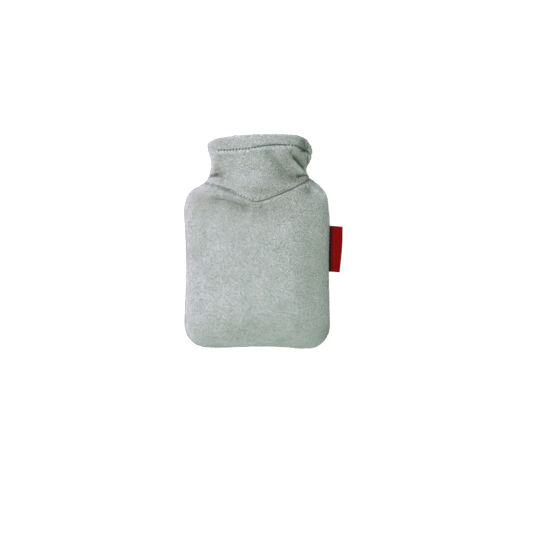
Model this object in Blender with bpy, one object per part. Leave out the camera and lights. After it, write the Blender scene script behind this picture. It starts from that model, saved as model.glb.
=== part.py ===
"""Velour cover for a small hot water bottle, lying on its back in the shape that the bottle gives it.

The front and back of the body and of the collar are four cut panels, sewn edge to edge, and a folded
woven tab is caught in the right side seam. The cover is hollow, and the collar's mouth is open.

Frame: X to the right and Y towards the collar as the front is looked at, Z up from the surface that the
back rests on. The origin is the middle of the flat patch that the back rests on. Sizes are in millimetres
until a mesh is made, and heights are measured along Y from the body's bottom edge.
"""

from collections import namedtuple

import bpy
import numpy as np

MM = 0.001
REST_HEIGHT = 62.0  # the origin's height above the bottom edge

CLOTH = 2.0  # thickness of the velour with its pile
SEAM_GAP = 0.3  # between two panels where they meet
SEAM_Z = 14.0  # the side seam's height above the surface
SEAM_SINK = 0.9  # how far the panels draw in at a sewn line
SEAM_REACH = 1.5  # how far from the line the panels are drawn in
RIM_SINK = 0.5  # the rounding of the collar's top edge: how deep, and how far from the edge
RIM_REACH = 1.2
HEM_SWELL = 0.5  # how far the doubled cloth of the collar's hem stands out

CORNER_ACROSS = 17.0  # the rounding of the body's lower corners, across and up
CORNER_UP = 18.0
BOTTOM_ROLL = 32.0  # how far up the bottom edge is rounded
BOTTOM_SQUARE = 2.6  # the superellipse power of that rounding
PRESSED = 1.2  # how softly the back bends into the flat patch that it rests on

TAB_LOW = 58.1  # the woven tab's lower and upper end
TAB_HIGH = 93.5
TAB_REACH_LOW = 63.6  # how far right it reaches at its lower and upper end
TAB_REACH_HIGH = 65.9
TAB_THICK = 1.2
TAB_FOLD = 0.4  # half of its thickness at the fold along its outer edge
TAB_DROOP = 0.8  # how far the fold hangs below the seam
TAB_SKEW = 0.7  # and how far it is pulled towards the bottom edge

# The cover's cross-sections. left and right are its reach to each side of X = 0, front and back its reach
# above and below the side seam, and square is the power of the superellipse: 2 is an ellipse, and more is
# boxier.
Section = namedtuple("Section", "height left right front back square")
SECTIONS = (
    Section(0.0, 55.9, 56.1, 14.4, 15.4, 2.9),
    Section(20.0, 56.0, 56.1, 15.0, 15.8, 2.9),
    Section(44.0, 55.0, 55.6, 15.8, 16.0, 2.8),
    Section(62.0, 54.6, 55.3, 16.0, 16.0, 2.8),
    Section(82.0, 55.2, 55.6, 15.6, 15.9, 2.8),
    Section(99.0, 56.1, 55.8, 14.7, 15.5, 2.8),
    Section(106.0, 56.3, 55.3, 14.1, 15.0, 2.8),
    Section(112.0, 55.3, 54.7, 13.5, 14.3, 2.7),
    Section(118.0, 52.7, 53.2, 12.9, 13.4, 2.7),
    Section(121.0, 49.9, 51.2, 12.6, 12.8, 2.6),
    Section(124.0, 44.9, 48.6, 12.2, 12.3, 2.6),
    Section(127.2, 40.3, 44.6, 11.6, 11.7, 2.6),
    Section(130.3, 38.0, 40.9, 11.1, 11.1, 2.5),
    Section(133.4, 36.8, 39.1, 10.7, 10.7, 2.5),
    Section(136.5, 36.1, 38.2, 10.4, 10.4, 2.4),
    Section(139.5, 35.5, 39.3, 10.4, 10.4, 2.4),
    Section(142.6, 35.7, 40.7, 10.7, 10.5, 2.4),
    Section(147.0, 36.8, 42.1, 11.2, 10.8, 2.4),
    Section(151.8, 37.6, 42.4, 11.6, 11.1, 2.4),
    Section(155.0, 38.2, 41.9, 11.7, 11.2, 2.4),
    Section(158.0, 38.1, 40.4, 11.5, 11.2, 2.4),
    Section(165.0, 37.6, 38.8, 11.0, 11.0, 2.4),
)

# Lines across the front. share is the place across, from -1 at the left side seam to 1 at the right one.
Station = namedtuple("Station", "share height")
BOTTOM_EDGE = (
    Station(-1.0, -0.3),
    Station(-0.82, -0.6),
    Station(-0.6, -0.4),
    Station(-0.25, 0.2),
    Station(0.1, 0.45),
    Station(0.44, 0.1),
    Station(0.67, -0.6),
    Station(0.8, -1.1),
    Station(1.0, -1.3),
)
YOKE_SEAM = (
    Station(-1.0, 126.6),
    Station(-0.89, 125.4),
    Station(-0.68, 123.3),
    Station(-0.46, 120.3),
    Station(-0.29, 117.2),
    Station(-0.18, 114.4),
    Station(-0.1, 112.4),
    Station(0.0, 111.7),
    Station(0.12, 113.1),
    Station(0.28, 116.4),
    Station(0.45, 120.0),
    Station(0.66, 124.4),
    Station(0.95, 129.5),
    Station(1.0, 130.6),
)
HEM_LINE = (
    Station(-1.0, 151.6),
    Station(-0.83, 151.1),
    Station(-0.6, 150.8),
    Station(-0.27, 151.8),
    Station(0.1, 154.2),
    Station(0.3, 155.0),
    Station(0.5, 154.9),
    Station(0.74, 154.0),
    Station(0.84, 151.7),
    Station(1.0, 148.2),
)
RIM = (
    Station(-1.0, 157.0),
    Station(-0.87, 159.6),
    Station(-0.63, 161.4),
    Station(-0.28, 162.6),
    Station(0.08, 163.2),
    Station(0.5, 163.2),
    Station(0.79, 162.2),
    Station(0.9, 160.7),
    Station(0.97, 158.0),
    Station(1.0, 154.8),
)
# The same lines across the back.
NECK_SEAM = (
    Station(-1.0, 126.6),
    Station(-0.5, 127.2),
    Station(0.5, 128.8),
    Station(1.0, 130.6),
)
BACK_HEM_LINE = (
    Station(-1.0, 151.6),
    Station(-0.5, 152.4),
    Station(0.5, 151.8),
    Station(1.0, 148.2),
)
BACK_RIM = (
    Station(-1.0, 157.0),
    Station(-0.85, 159.4),
    Station(-0.4, 161.4),
    Station(0.3, 161.8),
    Station(0.85, 159.6),
    Station(1.0, 154.8),
)

# Troughs (depth above 0) and ridges (below 0) in the front, from one point to another. The slope is as wide
# as left_width on the left of the way from the first point to the second, and right_width on its right.
Fold = namedtuple("Fold", "x0 height0 x1 height1 depth left_width right_width")
FOLDS = (
    Fold(28.5, 145.5, 37.9, 136.1, 3.6, 4.5, 1.9),  # the deep pleat at the collar's right
    Fold(25.5, 143.5, 34.5, 134.3, -1.0, 2.5, 2.5),  # the edge that laps over it
    Fold(35.5, 151.7, 42.0, 149.8, 1.6, 1.7, 1.7),  # the hem drawn in at the right side seam
    Fold(36.8, 160.5, 36.8, 150.5, 1.5, 1.8, 1.8),  # the nick across the hem
    Fold(30.0, 130.8, 39.0, 132.6, 2.2, 2.4, 1.7),  # the crease over the yoke seam's right end
    Fold(-36.5, 131.6, -24.0, 135.4, 2.2, 3.2, 1.7),  # the crease at the neck's left
    Fold(9.2, 149.5, 17.8, 132.0, 1.3, 4.5, 4.5),  # the soft valley down the collar
    Fold(-36.0, 121.6, -6.0, 108.6, 1.3, 2.6, 3.2),  # the soft hollow under the yoke seam's left half
    Fold(0.0, 107.0, 28.0, 114.5, 0.9, 4.0, 5.0),  # and the shallower one under its right half
    Fold(37.0, 124.0, 42.0, 117.0, 0.9, 3.2, 3.2),  # the hollow on the right shoulder
    Fold(40.0, 100.0, 41.5, 34.0, 0.9, 8.0, 8.0),  # the side of the front, bent away on the right
    Fold(27.0, 98.0, 28.0, 36.0, -0.5, 5.0, 6.0),  # over the soft edge of what it holds
    Fold(-38.0, 104.0, -38.5, 66.0, 0.5, 6.0, 6.0),  # the faint trough along the left
    Fold(0.8, 57.5, 0.8, 53.0, 0.35, 1.8, 1.8),  # a small dent in the middle
)
FOLD_FADE = 1.5  # how far a fold runs out past its ends, in widths of its narrower slope
FOLD_RISE = 0.4  # folds have their full depth where the section has risen this far from the side seams

ACROSS_FRONT = 48  # faces across the panels of the front and of the back
ACROSS_BACK = 22
ROLL_STEPS = 8  # rows of faces up the rounded bottom
SHOULDER = 100.0  # the height above which the body's rows stand closer
SPREAD = 2.8  # the superellipse power that the faces across are spaced by

VELOUR = ("sage_velour", (0.42, 0.47, 0.43, 1.0), 0.95)
WOVEN = ("red_woven_tape", (0.30, 0.012, 0.016, 1.0), 0.75)


def smooth(at, places, values):
    """A smooth curve through values given at places: a cubic between each two, with the slopes that their
    neighbours give."""
    places = np.asarray(places, float)
    values = np.asarray(values, float)
    slopes = np.gradient(values, places)
    at = np.clip(at, places[0], places[-1])
    k = np.clip(np.searchsorted(places, at) - 1, 0, len(places) - 2)
    step = places[k + 1] - places[k]
    t = (at - places[k]) / step
    start = (1 + 2 * t) * (1 - t) ** 2 * values[k] + t * (1 - t) ** 2 * step * slopes[k]
    end = t**2 * (3 - 2 * t) * values[k + 1] + t**2 * (t - 1) * step * slopes[k + 1]
    return start + end


def line(stations, share):
    """The height of a line across the cover, at a share across."""
    return smooth(share, [s.share for s in stations], [s.height for s in stations])


def shares(steps):
    """Shares across a section, from -1 to 1: even angles on a superellipse, so closer at the sides."""
    angle = np.linspace(-np.pi / 2, np.pi / 2, steps + 1)
    s, c = np.sin(angle), np.abs(np.cos(angle))
    return s / (np.abs(s) ** SPREAD + c**SPREAD) ** (1 / SPREAD)


def rise(share, height):
    """How far a section has risen at a share across: from 0 at the side seams to 1 in the middle."""
    square = smooth(height, [s.height for s in SECTIONS], [s.square for s in SECTIONS])
    return np.clip(1 - np.abs(share) ** square, 0, 1) ** (1 / square)


def fold_depth(x, height):
    """How far the folds lower the front at a place: each is a bell across its line, faded past its ends."""
    total = np.zeros_like(x)
    for fold in FOLDS:
        dx, dy = fold.x1 - fold.x0, fold.height1 - fold.height0
        length = np.hypot(dx, dy)
        along = ((x - fold.x0) * dx + (height - fold.height0) * dy) / length
        aside = ((height - fold.height0) * dx - (x - fold.x0) * dy) / length
        width = np.where(aside > 0, fold.left_width, fold.right_width)
        past = np.maximum(np.maximum(-along, along - length), 0)
        fade = FOLD_FADE * min(fold.left_width, fold.right_width)
        total += fold.depth * np.exp(-((aside / width) ** 2) - (past / fade) ** 2)
    return total


def rows_between(guides, steps):
    """Heights of rows that divide the strips between guide lines into steps, both end lines included."""
    rows = [guides[0]]
    for low, high, count in zip(guides, guides[1:], steps):
        rows += [low + (high - low) * k / count for k in range(1, count + 1)]
    return np.array(rows)


def pressed(z, floor):
    """Heights of the back once it is pressed flat at a floor: a parabola joins the flat part and the rest."""
    over = z - floor
    return floor + np.where(over > PRESSED, over, np.clip(over + PRESSED, 0, None) ** 2 / (4 * PRESSED))


def surface(share, swell, height, above_bottom, inset, facing):
    """Points of the cover at shares across and heights: sections whose reach comes from the table, drawn in
    at the lower corners. swell is how full each point stands, and inset its depth under the outer face."""
    places = [s.height for s in SECTIONS]
    left, right, reach = (
        smooth(height, places, [getattr(s, key) for s in SECTIONS])
        for key in ("left", "right", "front" if facing > 0 else "back")
    )
    up = np.clip(1 - above_bottom / (CORNER_UP - inset), 0, 1)
    corner = (CORNER_ACROSS - inset) * (1 - np.sqrt(1 - up**2))
    half = (left + right) / 2 - corner - inset
    x = (right - left) / 2 + half * share
    z = SEAM_Z + facing * ((reach - inset) * swell + SEAM_GAP / 2)
    if facing > 0:
        z = z - fold_depth(x, height) * np.clip(swell / FOLD_RISE, 0, 1)
    else:
        z = pressed(z, inset)
    return np.stack([x, height, z], axis=-1)


def sunk(distance):
    """How far the outer face sinks at a distance from a sewn line: a bell."""
    return SEAM_SINK * np.exp(-((distance / SEAM_REACH) ** 2))


def body_panel(name, columns, rows, top, facing):
    """One side of the body: rows rounded up from the bottom edge, then rows to the seam with the collar.
    facing is 1 for the front and -1 for the back."""
    share = shares(columns)
    angle = np.linspace(0, np.pi / 2, ROLL_STEPS + 1)
    radius = (np.cos(angle) ** BOTTOM_SQUARE + np.sin(angle) ** BOTTOM_SQUARE) ** (-1 / BOTTOM_SQUARE)
    lift, thick = 1 - radius * np.cos(angle), np.clip(radius * np.sin(angle), 0, 1)
    thick[0] = 0.0
    seam = line(top, share) - SEAM_GAP / 2
    faces = []
    for inset in (0.0, CLOTH):
        edge = line(BOTTOM_EDGE, share) + inset
        rolled = edge + (BOTTOM_ROLL - inset) * lift[:, None]
        shoulder = SHOULDER + 0 * share
        above = rows_between([rolled[-1], shoulder, seam - SEAM_REACH, seam], [*rows, 1])[1:]
        height = np.concatenate([rolled, above])
        full = np.concatenate([thick, np.ones(len(above))])
        swell = rise(share, height) * full[:, None]
        points = surface(share, swell, height, height - edge, inset, facing)
        if not inset:
            points[..., 2] -= facing * sunk(seam - height) * swell
        faces.append(points)
    solid(name, *faces, VELOUR, facing)


def collar_panel(name, columns, rows, low, hem, top, facing):
    """One side of the collar: rows from its lower seam to the stitched line, and from there over the
    doubled hem to the rim."""
    share = shares(columns)
    seam = line(low, share) + SEAM_GAP / 2
    stitched, rim = line(hem, share), line(top, share)
    below = [seam, seam + SEAM_REACH, stitched - SEAM_REACH, stitched]
    above = [stitched + SEAM_REACH, rim - RIM_REACH, rim]
    height = rows_between(below + above, [1, rows, 1, 1, 2, 1])
    swell = rise(share, height)
    band = np.clip((height - stitched) / (rim - stitched), 0, 1)
    sink = sunk(height - seam) + sunk(height - stitched) + RIM_SINK * np.exp(-((rim - height) ** 2))
    sink -= HEM_SWELL * np.sqrt(np.sin(np.pi * band))
    faces = []
    for inset in (0.0, CLOTH):
        points = surface(share, swell, height, height, inset, facing)
        if not inset:
            points[..., 2] -= facing * sink * swell
        faces.append(points)
    solid(name, *faces, VELOUR, facing)


def woven_tab():
    """The folded tab: a flat plate from the side seam, thinner at its outer fold, which droops."""
    height = np.linspace(TAB_LOW, TAB_HIGH, 9)[:, None]
    out = np.linspace(0, 1, 6)[None, :]
    side = smooth(height, [s.height for s in SECTIONS], [s.right for s in SECTIONS]) + SEAM_GAP
    reach = np.interp(height, [TAB_LOW, TAB_HIGH], [TAB_REACH_LOW, TAB_REACH_HIGH])
    x = side + (reach - side) * out
    middle = SEAM_Z - TAB_DROOP * out**2 + 0 * height
    half = TAB_FOLD + (TAB_THICK / 2 - TAB_FOLD) * np.sqrt(1 - out**4) + 0 * height
    y = height - TAB_SKEW * out
    faces = [np.stack([x, y, middle + side_of * half], axis=-1) for side_of in (1, -1)]
    solid("woven_tab", *faces, WOVEN, 1)


def solid(name, outer, inner, finish, facing):
    """One closed mesh between two grids of points: the outer face, the inner face and four edge strips."""
    rows, columns = outer.shape[:2]
    points = np.concatenate([outer.reshape(-1, 3), inner.reshape(-1, 3)]) * MM
    number = np.arange(rows * columns).reshape(rows, columns)
    corners = [number[:-1, :-1], number[:-1, 1:], number[1:, 1:], number[1:, :-1]]
    quads = np.stack(corners, axis=-1).reshape(-1, 4)
    around = np.concatenate([number[0], number[1:, -1], number[-1, -2::-1], number[-2:0:-1, 0]])
    after = np.roll(around, -1)
    under = rows * columns
    strips = np.stack([around, around + under, after + under, after], axis=-1)
    faces = np.concatenate([quads, quads[:, ::-1] + under, strips])
    if facing < 0:
        faces = faces[:, ::-1]
    mesh = bpy.data.meshes.new(name)
    mesh.from_pydata(points.tolist(), [], faces.tolist())
    mesh.materials.append(material(*finish))
    mesh.shade_smooth()
    mesh.set_sharp_from_angle(angle=np.radians(50))
    piece = bpy.data.objects.new(name, mesh)
    piece.location.y = -REST_HEIGHT * MM
    bpy.context.scene.collection.objects.link(piece)


def material(name, colour, roughness):
    """A plain Principled finish, made once."""
    found = bpy.data.materials.get(name)
    if found:
        return found
    made = bpy.data.materials.new(name)
    made.use_nodes = True
    shader = made.node_tree.nodes["Principled BSDF"]
    shader.inputs["Base Color"].default_value = colour
    shader.inputs["Roughness"].default_value = roughness
    shader.inputs["Metallic"].default_value = 0.0
    return made


def main():
    for old in list(bpy.data.objects):
        bpy.data.objects.remove(old)
    body_panel("body_front", ACROSS_FRONT, (6, 9), YOKE_SEAM, 1)
    body_panel("body_back", ACROSS_BACK, (4, 8), NECK_SEAM, -1)
    collar_panel("collar_front", ACROSS_FRONT, 19, YOKE_SEAM, HEM_LINE, RIM, 1)
    collar_panel("collar_back", ACROSS_BACK, 7, NECK_SEAM, BACK_HEM_LINE, BACK_RIM, -1)
    woven_tab()


main()
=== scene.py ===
"""Looks of a velour cover for a small hot water bottle, seen straight from above as it lies on its back.

Each panel of cloth is worked out with numpy on a fine grid of the CAD panel's own shape: the section
table and the seam lines are the part's, and the creases, stitch grooves, puckers and rolled edges are
added to them. Only the two highest sections are a little fuller at the right, where the rim turns down
in a rounder corner. Sizes are in millimetres, in the part's frame except that heights count along Y from
the body's bottom edge.
"""

from collections import namedtuple

import bpy
import numpy as np
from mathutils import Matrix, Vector


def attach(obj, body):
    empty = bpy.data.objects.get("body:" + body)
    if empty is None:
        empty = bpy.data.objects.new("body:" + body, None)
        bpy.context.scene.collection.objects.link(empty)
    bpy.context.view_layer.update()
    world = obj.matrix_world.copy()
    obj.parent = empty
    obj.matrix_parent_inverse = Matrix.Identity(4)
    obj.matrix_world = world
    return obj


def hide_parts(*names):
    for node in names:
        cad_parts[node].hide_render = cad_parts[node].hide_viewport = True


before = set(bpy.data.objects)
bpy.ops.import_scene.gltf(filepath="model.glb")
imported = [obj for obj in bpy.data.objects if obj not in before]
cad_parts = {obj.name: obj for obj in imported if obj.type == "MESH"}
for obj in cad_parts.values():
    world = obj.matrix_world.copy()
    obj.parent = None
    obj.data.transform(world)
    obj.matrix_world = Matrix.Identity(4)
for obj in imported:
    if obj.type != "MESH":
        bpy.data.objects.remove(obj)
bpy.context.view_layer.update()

MM = 0.001
REST_HEIGHT = 62.0  # the origin's height above the bottom edge

# ---------------------------------------------------------------- the part's own shape

CLOTH = 2.0  # thickness of the velour with its pile
SEAM_Z = 14.0  # how high over the floor the side seams run
CORNER_ACROSS = 17.0  # how far across and how far up the lower corners are rounded
CORNER_UP = 18.0
BOTTOM_ROLL = 32.0  # how far up the cover the bottom rolls
BOTTOM_SQUARE = 2.6  # and how square that roll is, as a superellipse's power
PRESSED = 1.2  # how softly the back turns into the flat that it lies on

# Sections across the cover: how far each reaches to the left and right, how far to the front and back of
# the side seams, and the power of its superellipse, which says how square it is.
Section = namedtuple("Section", "height left right front back square")
SECTIONS = (
    Section(0.0, 55.9, 56.1, 14.4, 15.4, 2.9),
    Section(20.0, 56.0, 56.1, 15.0, 15.8, 2.9),
    Section(44.0, 55.0, 55.6, 15.8, 16.0, 2.8),
    Section(62.0, 54.6, 55.3, 16.0, 16.0, 2.8),
    Section(82.0, 55.2, 55.6, 15.6, 15.9, 2.8),
    Section(99.0, 56.1, 55.8, 14.7, 15.5, 2.8),
    Section(106.0, 56.3, 55.3, 14.1, 15.0, 2.8),
    Section(112.0, 55.3, 54.7, 13.5, 14.3, 2.7),
    Section(118.0, 52.7, 53.2, 12.9, 13.4, 2.7),
    Section(121.0, 49.9, 51.2, 12.6, 12.8, 2.6),
    Section(124.0, 44.9, 48.6, 12.2, 12.3, 2.6),
    Section(127.2, 40.3, 44.6, 11.6, 11.7, 2.6),
    Section(130.3, 38.0, 40.9, 11.1, 11.1, 2.5),
    Section(133.4, 36.8, 39.1, 10.7, 10.7, 2.5),
    Section(136.5, 36.1, 38.2, 10.4, 10.4, 2.4),
    Section(139.5, 35.5, 39.3, 10.4, 10.4, 2.4),
    Section(142.6, 35.7, 40.7, 10.7, 10.5, 2.4),
    Section(147.0, 36.8, 42.1, 11.2, 10.8, 2.4),
    Section(151.8, 37.6, 42.4, 11.6, 11.1, 2.4),
    Section(155.0, 38.2, 41.9, 11.7, 11.2, 2.4),
    Section(158.0, 38.1, 41.1, 11.5, 11.2, 2.4),
    Section(165.0, 37.6, 40.0, 11.0, 11.0, 2.4),
)

# Lines over the cover: stations at shares across, from -1 at the left side seam to 1 at the right one.
Station = namedtuple("Station", "share height")


def stations(*pairs):
    """A line over the cover from pairs of a share across and a height."""
    return tuple(Station(*pair) for pair in pairs)


BOTTOM_EDGE = stations(
    (-1.0, -0.3), (-0.82, -0.6), (-0.6, -0.4), (-0.25, 0.2), (0.1, 0.45), (0.44, 0.1), (0.67, -0.6),
    (0.8, -1.1), (1.0, -1.3),
)
YOKE_SEAM = stations(
    (-1.0, 126.6), (-0.89, 125.4), (-0.68, 123.3), (-0.46, 120.3), (-0.29, 117.2), (-0.18, 114.4),
    (-0.1, 112.4), (0.0, 111.7), (0.12, 113.1), (0.28, 116.4), (0.45, 120.0), (0.66, 124.4),
    (0.95, 129.5), (1.0, 130.6),
)
HEM_LINE = stations(
    (-1.0, 151.6), (-0.83, 151.1), (-0.6, 150.8), (-0.27, 151.8), (0.1, 154.2), (0.3, 155.0),
    (0.5, 154.9), (0.74, 154.0), (0.84, 151.7), (1.0, 148.2),
)
RIM = stations(
    (-1.0, 157.0), (-0.87, 159.6), (-0.63, 161.4), (-0.28, 162.6), (0.08, 163.2), (0.5, 163.2),
    (0.79, 162.2), (0.9, 160.7), (0.97, 158.0), (1.0, 154.8),
)
NECK_SEAM = stations(
    (-1.0, 126.6), (-0.5, 127.2), (0.5, 128.8), (1.0, 130.6),
)
BACK_HEM_LINE = stations(
    (-1.0, 151.6), (-0.5, 152.4), (0.5, 151.8), (1.0, 148.2),
)
BACK_RIM = stations(
    (-1.0, 157.0), (-0.85, 159.4), (-0.4, 161.4), (0.3, 161.8), (0.85, 159.6), (1.0, 154.8),
)

# Troughs (depth above 0) and ridges (below 0) in the front, each along a line that bows to its left by
# bow. The slope is left_width wide on the left of the way from the first point to the second, and
# right_width wide on its right. A fold grows from nothing over ease_in at its first end, and fades over
# ease_out at its other end.
Fold = namedtuple("Fold", "x0 height0 x1 height1 bow depth left_width right_width ease_in ease_out")
FOLDS = (
    # the deep pleat at the collar's right, and the edge that laps over it
    Fold(26.0, 147.5, 39.2, 133.8, 0.3, 4.8, 4.8, 0.65, 8.5, 7.0),
    Fold(24.0, 151.5, 30.5, 143.5, 0.0, 1.1, 3.0, 1.8, 3.0, 3.0),
    Fold(23.5, 147.0, 38.6, 132.0, 0.0, -0.9, 1.1, 3.4, 7.0, 4.5),
    # the hem's stitches running into a crease that draws the hem in at the side seam
    Fold(30.5, 154.7, 36.8, 150.6, 0.2, 1.9, 1.0, 0.9, 3.0, 0.8),
    Fold(36.0, 151.0, 43.0, 148.2, 0.2, 1.6, 0.9, 0.9, 0.8, 0.1),
    Fold(36.1, 161.0, 36.7, 149.0, 0.0, 1.7, 1.4, 3.2, 7.5, 1.5),
    Fold(35.4, 163.0, 36.2, 148.5, 0.0, 1.6, 2.6, 3.6, 4.0, 2.0),
    Fold(36.7, 151.5, 37.3, 145.5, 0.0, 1.0, 0.8, 0.8, 2.0, 3.0),
    Fold(39.3, 158.5, 38.9, 151.5, 0.0, 0.9, 0.8, 0.8, 2.0, 2.0),
    Fold(39.3, 148.0, 38.9, 137.0, 0.0, 1.3, 0.8, 0.7, 2.0, 2.0),
    # the crease over the yoke seam's right end, and the broad fall towards it
    Fold(29.3, 130.0, 41.0, 132.5, 0.3, 2.9, 2.6, 0.8, 3.5, 0.1),
    Fold(27.0, 150.0, 31.0, 122.0, 0.0, 1.6, 7.0, 12.0, 10.0, 6.0),
    # the crease at the neck's left, the hollow over it and the roll under it
    Fold(-38.0, 131.1, -23.0, 131.1, 0.3, 3.0, 1.5, 0.6, 0.1, 9.0),
    Fold(-34.0, 133.0, -21.0, 133.0, 0.0, 1.7, 3.2, 1.6, 4.0, 7.0),
    Fold(-32.0, 151.0, -29.0, 134.0, 0.0, 1.3, 5.0, 2.8, 9.0, 4.0),
    Fold(-38.0, 128.8, -24.0, 129.4, 0.0, -0.7, 1.5, 1.5, 0.1, 5.0),
    # the soft valley down the collar
    Fold(5.0, 153.0, 26.0, 131.0, 0.8, 1.5, 5.5, 3.8, 6.0, 9.0),
    # the roll and the hollow under the yoke seam's left half, and the shallower hollow under its right half
    Fold(-37.5, 120.6, -16.0, 112.6, 0.3, -0.4, 2.0, 2.0, 5.0, 8.0),
    Fold(-38.0, 115.6, -2.0, 105.6, 0.3, 1.9, 2.0, 5.0, 11.0, 8.0),
    Fold(-14.0, 109.5, 12.0, 105.5, 0.0, 0.8, 3.0, 5.0, 8.0, 9.0),
    Fold(0.0, 107.0, 30.0, 115.0, 0.0, 0.9, 4.0, 5.0, 6.0, 6.0),
    # the hollow on the right shoulder
    Fold(34.5, 128.0, 44.0, 114.5, 0.0, 1.5, 3.8, 3.4, 8.0, 6.0),
    # the side of the front bent away on the right, over the soft edge of what it holds
    Fold(39.8, 108.0, 41.8, 26.0, 0.0, 0.9, 8.0, 8.0, 12.0, 12.0),
    Fold(26.8, 106.0, 28.2, 28.0, 0.0, -0.5, 5.0, 6.0, 12.0, 12.0),
    # the faint trough along the left, and a small dent in the middle
    Fold(-37.8, 110.0, -38.6, 60.0, 0.0, 0.5, 6.0, 6.0, 9.0, 9.0),
    Fold(2.6, 59.5, 2.2, 52.5, 0.0, 0.4, 2.2, 2.4, 2.5, 2.5),
)
FOLD_SHOULDER = 1.7  # the power of the bell across a fold
FOLD_RISE = 0.4  # the folds are full where a section has risen by this share, and nothing at the side seams
SPREAD = 2.8  # how the grid's columns draw together towards the side seams, as a superellipse's power

# Soft patches of painted shade (above 0) and painted highlight (below 0) in the colour of the front's pile,
# where light falls less or more. Each row is the x and height of a patch, the reach of its bell across and
# up, and how much darker it is.
PAINTED_SHADING_PATCHES = (
    (18.0, 136.0, 14.0, 14.0, 0.18), (24.0, 132.0, 9.0, 7.0, 0.16),
    (38.5, 148.0, 8.0, 13.0, 0.22), (36.0, 129.2, 6.5, 2.6, 0.28),
    (9.0, 118.5, 15.0, 4.5, 0.18), (0.0, 106.0, 15.0, 4.5, 0.24),
    (-15.0, 109.0, 9.0, 3.0, 0.1), (36.0, 120.5, 9.0, 4.5, 0.16),
    (-27.0, 141.0, 9.0, 12.0, 0.15), (-30.0, 156.5, 9.0, 4.0, 0.13),
    (-42.0, 114.0, 9.0, 5.0, 0.12), (-38.0, 102.0, 24.0, 9.0, 0.06),
    (49.5, 9.0, 8.0, 9.0, 0.11), (-15.0, 3.0, 42.0, 3.5, -0.09),
    (-36.2, 143.5, 2.3, 7.5, -0.32), (-10.0, 1.0, 48.0, 3.0, -0.1),
    (-14.0, 141.0, 5.0, 6.0, 0.05), (-56.0, 60.0, 3.5, 50.0, -0.08),
    (-5.0, 60.0, 24.0, 45.0, -0.035), (43.5, 65.0, 8.0, 45.0, 0.07),
    (-28.5, 134.8, 5.5, 3.6, 0.26), (-35.5, 127.5, 6.0, 3.0, -0.06),
    (20.0, 106.0, 17.0, 7.0, 0.11), (51.2, 117.0, 3.2, 5.0, -0.42),
    (-25.0, 150.5, 8.0, 3.0, -0.1), (-25.0, 129.0, 7.0, 4.0, 0.09),
    (32.4, 153.8, 2.2, 2.2, 0.16), (12.0, 127.0, 8.0, 5.0, 0.05),
    (-41.0, 113.5, 7.0, 4.0, 0.07), (9.0, 152.5, 12.0, 1.3, -0.2),
    (22.5, 147.0, 5.0, 5.0, 0.14), (26.8, 131.0, 3.6, 3.6, 0.2),
    (40.5, 135.5, 2.5, 4.0, -0.3), (46.5, 122.5, 3.0, 4.0, -0.35),
    (40.0, 123.8, 3.5, 3.0, 0.16), (42.5, 117.5, 3.5, 5.5, 0.12),
    (38.0, 154.5, 3.5, 5.0, 0.1), (38.2, 152.3, 0.9, 2.2, 0.3),
    (41.0, 153.5, 1.3, 4.0, -0.2), (40.2, 146.5, 1.1, 2.6, -0.25),
    (36.5, 134.6, 2.5, 1.8, -0.15), (-10.0, 108.0, 5.0, 2.5, -0.06),
    (33.0, 127.8, 6.0, 1.9, 0.06), (-29.7, 130.0, 6.5, 1.5, 0.16),
    (-32.5, 147.3, 2.0, 1.7, -0.18), (-22.0, 70.0, 6.0, 7.0, -0.06),
    (12.0, 66.0, 6.0, 12.0, -0.05), (31.0, 113.5, 5.5, 4.0, 0.13),
    (5.0, 99.8, 18.0, 4.0, 0.08), (22.0, 92.5, 6.0, 4.5, -0.08),
    (-45.0, 4.5, 6.0, 4.0, -0.08), (-9.0, 138.0, 12.0, 14.0, -0.05),
    (-4.0, 150.5, 26.0, 1.6, -0.07), (-46.0, 110.0, 10.0, 10.0, 0.05),
    (-48.0, 74.0, 8.0, 13.0, 0.11), (-31.0, 33.0, 9.0, 12.0, -0.1),
    (-4.0, 42.0, 24.0, 10.0, -0.06), (-4.0, 15.0, 20.0, 6.0, 0.08),
    (55.0, 9.5, 4.0, 7.0, 0.24), (35.0, 17.0, 8.0, 6.0, 0.09),
    (-52.0, 9.0, 5.0, 5.0, -0.07), (47.0, 72.0, 8.0, 20.0, 0.05),
    (8.0, 120.5, 20.0, 3.0, 0.08), (39.1, 142.5, 1.2, 5.0, 0.26),
    (11.5, 143.5, 5.0, 4.0, 0.1), (-31.0, 126.6, 3.5, 2.0, 0.14),
    (-1.0, 120.5, 4.5, 3.5, 0.13), (15.0, 112.4, 6.0, 2.4, 0.1),
    (3.2, 107.2, 4.2, 3.0, -0.09),
)
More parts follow.
